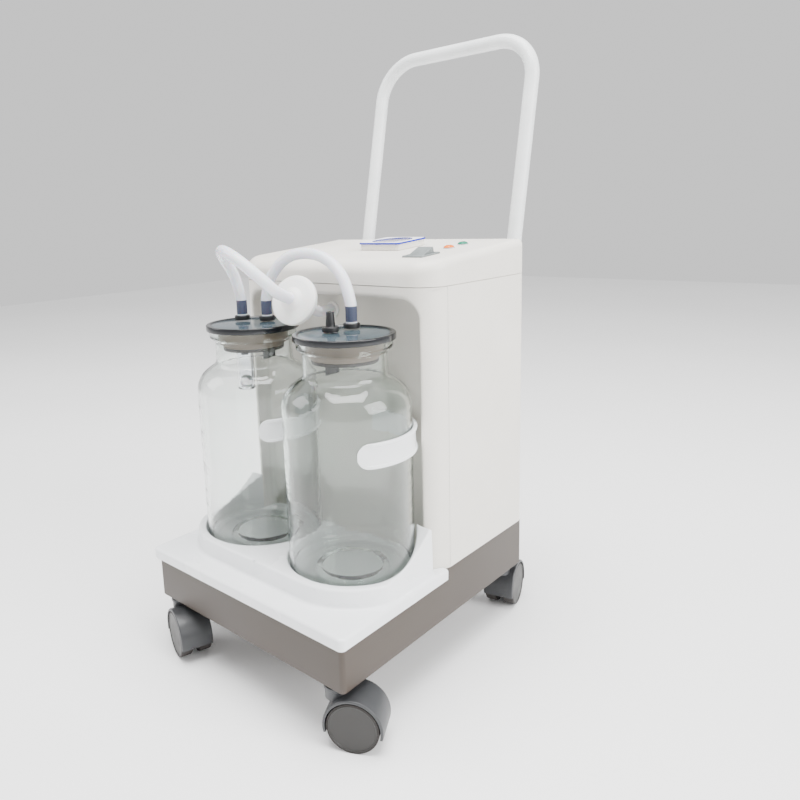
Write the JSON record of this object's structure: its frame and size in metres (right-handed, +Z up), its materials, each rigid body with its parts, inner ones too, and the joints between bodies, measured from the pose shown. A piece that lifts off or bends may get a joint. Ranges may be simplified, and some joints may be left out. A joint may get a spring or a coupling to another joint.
{
  "type": "suction pump",
  "caption": "Portable medical suction pump on castors with linked glass collection jars, vacuum gauge, hydrophobic filter and push handle.",
  "frame": {"origin": "bottom centre of the whole machine's bounding box, on the floor", "axes": "+Z up; front with the jars towards -Y; +X towards the machine's right side seen from the front"},
  "size_m": [0.3417, 0.4256, 0.686],
  "materials": {
    "powder_coated_grey": "textured satin powder coat",
    "moulded_white_tray": "smooth moulded",
    "moulded_white_panel": "fine moulded grain",
    "powder_coated_white": "satin powder coat",
    "moulded_white_filter": "smooth moulded",
    "printed_dial": "printed, matt",
    "blue_edged_plate": "polished edge",
    "grey_switch_plastic": "fine moulded grain",
    "grey_castor_plastic": "moulded, slightly worn",
    "black_plastic": "moulded",
    "dark_lid_plastic": "polished moulding",
    "dark_rubber": "smooth",
    "clear_plastic": "clear moulded plastic",
    "jar_glass": "clear, faint green at the edges",
    "milky_silicone": "milky translucent",
    "cast_aluminium": "as cast",
    "bright_steel": "turned",
    "orange_lens": "translucent lens",
    "green_lens": "translucent lens"
  },
  "bodies": {
    "machine": {"base_tub": "powder_coated_grey", "handle_clamp_left": "powder_coated_grey", "handle_clamp_right": "powder_coated_grey", "jar_tray": "moulded_white_tray", "jar_arm_left": "moulded_white_tray", "jar_arm_right": "moulded_white_tray", "front_panel": "moulded_white_panel", "rear_housing": "moulded_white_panel", "top_cover": "moulded_white_panel", "gauge_case": "moulded_white_panel", "push_handle": "powder_coated_white", "filter_membrane": "powder_coated_white", "filter_jar_half": "moulded_white_filter", "filter_pump_half": "moulded_white_filter", "pump_inlet_barb": "moulded_white_filter", "gauge_dial": "printed_dial", "gauge_plate": "blue_edged_plate", "switch_frame": "grey_switch_plastic", "mains_inlet": "black_plastic", "vacuum_lamp": "orange_lens", "power_lamp": "green_lens", "jar_left": "jar_glass", "jar_right": "jar_glass", "jar_lid_left": "dark_lid_plastic", "jar_lid_right": "dark_lid_plastic", "left_lid_pump_port": "dark_lid_plastic", "left_lid_link_port": "dark_lid_plastic", "right_lid_link_port": "dark_lid_plastic", "right_lid_patient_port": "dark_lid_plastic", "jar_stopper_left": "dark_rubber", "jar_stopper_right": "dark_rubber", "float_cage": "clear_plastic", "link_hose": "milky_silicone", "filter_hose": "milky_silicone", "pump_hose": "milky_silicone", "motor_stator": "cast_aluminium", "pump_head_left": "cast_aluminium", "pump_head_right": "cast_aluminium", "castor_stem_front_right": "bright_steel", "castor_stem_front_left": "bright_steel", "castor_stem_rear_right": "bright_steel", "castor_stem_rear_left": "bright_steel"},
    "castor_front_right": {"castor_hood_front_right": "grey_castor_plastic"},
    "wheel_front_right_inner": {"castor_wheel_front_right_inner": "grey_castor_plastic"},
    "wheel_front_right_outer": {"castor_wheel_front_right_outer": "grey_castor_plastic"},
    "castor_front_left": {"castor_hood_front_left": "grey_castor_plastic"},
    "wheel_front_left_inner": {"castor_wheel_front_left_inner": "grey_castor_plastic"},
    "wheel_front_left_outer": {"castor_wheel_front_left_outer": "grey_castor_plastic"},
    "castor_rear_right": {"castor_hood_rear_right": "grey_castor_plastic"},
    "wheel_rear_right_inner": {"castor_wheel_rear_right_inner": "grey_castor_plastic"},
    "wheel_rear_right_outer": {"castor_wheel_rear_right_outer": "grey_castor_plastic"},
    "castor_rear_left": {"castor_hood_rear_left": "grey_castor_plastic"},
    "wheel_rear_left_inner": {"castor_wheel_rear_left_inner": "grey_castor_plastic"},
    "wheel_rear_left_outer": {"castor_wheel_rear_left_outer": "grey_castor_plastic"},
    "rocker": {"switch_rocker": "grey_switch_plastic"},
    "needle": {"gauge_needle": "black_plastic"},
    "ball": {"float_ball": "moulded_white_tray"},
    "rotor": {"motor_rotor": "bright_steel"},
    "piston_left": {"pump_piston_left": "bright_steel"},
    "piston_right": {"pump_piston_right": "bright_steel"}
  },
  "joints": [
    {"name": "swivel_front_right", "type": "hinge", "parent": "machine", "child": "castor_front_right", "pos_m": [0.12095, -0.18144, 0.05], "axis": [0, 0, 1], "continuous": true},
    {"name": "spin_front_right_inner", "type": "hinge", "parent": "castor_front_right", "child": "wheel_front_right_inner", "pos_m": [0.13699, -0.17327, 0.025], "axis": [-0.454, 0.891, 0], "continuous": true},
    {"name": "spin_front_right_outer", "type": "hinge", "parent": "castor_front_right", "child": "wheel_front_right_outer", "pos_m": [0.13699, -0.17327, 0.025], "axis": [-0.454, 0.891, 0], "continuous": true},
    {"name": "swivel_front_left", "type": "hinge", "parent": "machine", "child": "castor_front_left", "pos_m": [-0.12095, -0.18144, 0.05], "axis": [0, 0, 1], "continuous": true},
    {"name": "spin_front_left_inner", "type": "hinge", "parent": "castor_front_left", "child": "wheel_front_left_inner", "pos_m": [-0.10383, -0.187, 0.025], "axis": [0.309, 0.9511, 0], "continuous": true},
    {"name": "spin_front_left_outer", "type": "hinge", "parent": "castor_front_left", "child": "wheel_front_left_outer", "pos_m": [-0.10383, -0.187, 0.025], "axis": [0.309, 0.9511, 0], "continuous": true},
    {"name": "swivel_rear_right", "type": "hinge", "parent": "machine", "child": "castor_rear_right", "pos_m": [0.12095, 0.11256, 0.05], "axis": [0, 0, 1], "continuous": true},
    {"name": "spin_rear_right_inner", "type": "hinge", "parent": "castor_rear_right", "child": "wheel_rear_right_inner", "pos_m": [0.11672, 0.13005, 0.025], "axis": [-0.972, -0.2351, 0], "continuous": true},
    {"name": "spin_rear_right_outer", "type": "hinge", "parent": "castor_rear_right", "child": "wheel_rear_right_outer", "pos_m": [0.11672, 0.13005, 0.025], "axis": [-0.972, -0.2351, 0], "continuous": true},
    {"name": "swivel_rear_left", "type": "hinge", "parent": "machine", "child": "castor_rear_left", "pos_m": [-0.12095, 0.11256, 0.05], "axis": [0, 0, 1], "continuous": true},
    {"name": "spin_rear_left_inner", "type": "hinge", "parent": "castor_rear_left", "child": "wheel_rear_left_inner", "pos_m": [-0.13786, 0.1064, 0.025], "axis": [0.342, -0.9397, 0], "continuous": true},
    {"name": "spin_rear_left_outer", "type": "hinge", "parent": "castor_rear_left", "child": "wheel_rear_left_outer", "pos_m": [-0.13786, 0.1064, 0.025], "axis": [0.342, -0.9397, 0], "continuous": true},
    {"name": "mains_rocker", "type": "hinge", "parent": "machine", "child": "rocker", "pos_m": [0.0995, -0.01001, 0.43609], "axis": [-1, 0, 0], "range_deg": [0, 22]},
    {"name": "gauge_pointer", "type": "hinge", "parent": "machine", "child": "needle", "pos_m": [0.0185, 0.04592, 0.44451], "axis": [0, 0.075, -0.9972], "range_deg": [0, 270]},
    {"name": "float_valve", "type": "slide", "parent": "machine", "child": "ball", "axis": [0, 0, 1], "range_m": [0, 0.024]},
    {"name": "motor_shaft", "type": "hinge", "parent": "machine", "child": "rotor", "pos_m": [0, 0.05356, 0.186], "axis": [1, 0, 0], "continuous": true},
    {"name": "piston_stroke_left", "type": "slide", "parent": "machine", "child": "piston_left", "axis": [0, 0, 1], "range_m": [-0.004, 0.004]},
    {"name": "piston_stroke_right", "type": "slide", "parent": "machine", "child": "piston_right", "axis": [0, 0, 1], "range_m": [-0.004, 0.004]}
  ]
}
